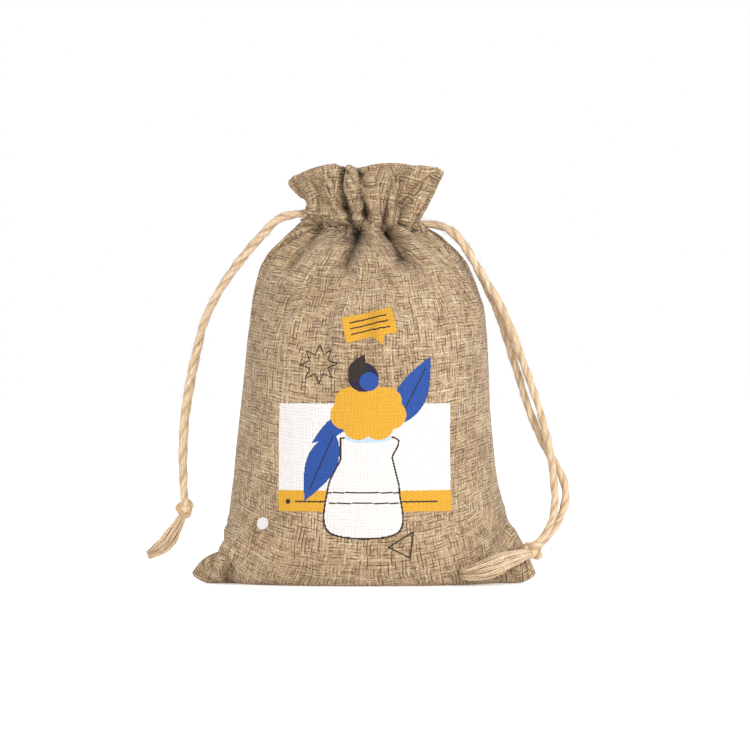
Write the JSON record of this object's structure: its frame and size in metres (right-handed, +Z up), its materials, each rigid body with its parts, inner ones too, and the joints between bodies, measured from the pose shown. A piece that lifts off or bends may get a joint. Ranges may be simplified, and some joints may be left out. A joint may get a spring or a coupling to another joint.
{
  "type": "fabric gift sack",
  "caption": "Small burlap drawstring gift sack, filled and standing, printed on the front, with jute drawstrings drawn closed at both sides.",
  "frame": {"origin": "under the middle of the base, on the surface the sack stands on", "axes": "+Z up through the neck, -Y out of the printed front, +X to the right of someone facing the print"},
  "size_m": [0.122, 0.0554, 0.12],
  "materials": {
    "burlap": "coarse matte weave",
    "jute": "twisted matte twine",
    "thread": "matte sewing thread",
    "ink": "matte printed cloth"
  },
  "bodies": {
    "sack": {"front_panel": "burlap", "back_panel": "burlap", "front_hem": "burlap", "back_hem": "burlap", "front_upper_stitching": "thread", "front_lower_stitching": "thread", "back_upper_stitching": "thread", "back_lower_stitching": "thread", "left_seam_stitching": "thread", "right_seam_stitching": "thread", "bottom_seam_stitching": "thread", "front_print": "ink", "left_channel_loop": "jute", "right_channel_loop": "jute"},
    "left_draw": {"left_cord_tails": "jute"},
    "left_pull": {"left_front_strand": "jute", "left_back_strand": "jute", "left_knot": "jute", "left_tassel": "jute"},
    "right_draw": {"right_cord_tails": "jute"},
    "right_pull": {"right_front_strand": "jute", "right_back_strand": "jute", "right_knot": "jute", "right_tassel": "jute"}
  },
  "joints": [
    {"name": "left_draw_slide", "type": "slide", "parent": "sack", "child": "left_draw", "axis": [-1, 0, 0], "range_m": [0, 0.008]},
    {"name": "left_cord_lift", "type": "hinge", "parent": "left_draw", "child": "left_pull", "pos_m": [-0.0195, 0, 0.1064], "axis": [0, 1, 0], "range_deg": [0, 60]},
    {"name": "right_draw_slide", "type": "slide", "parent": "sack", "child": "right_draw", "axis": [1, 0, 0], "range_m": [0, 0.008]},
    {"name": "right_cord_lift", "type": "hinge", "parent": "right_draw", "child": "right_pull", "pos_m": [0.0195, 0, 0.1034], "axis": [0, -1, 0], "range_deg": [0, 60]}
  ]
}
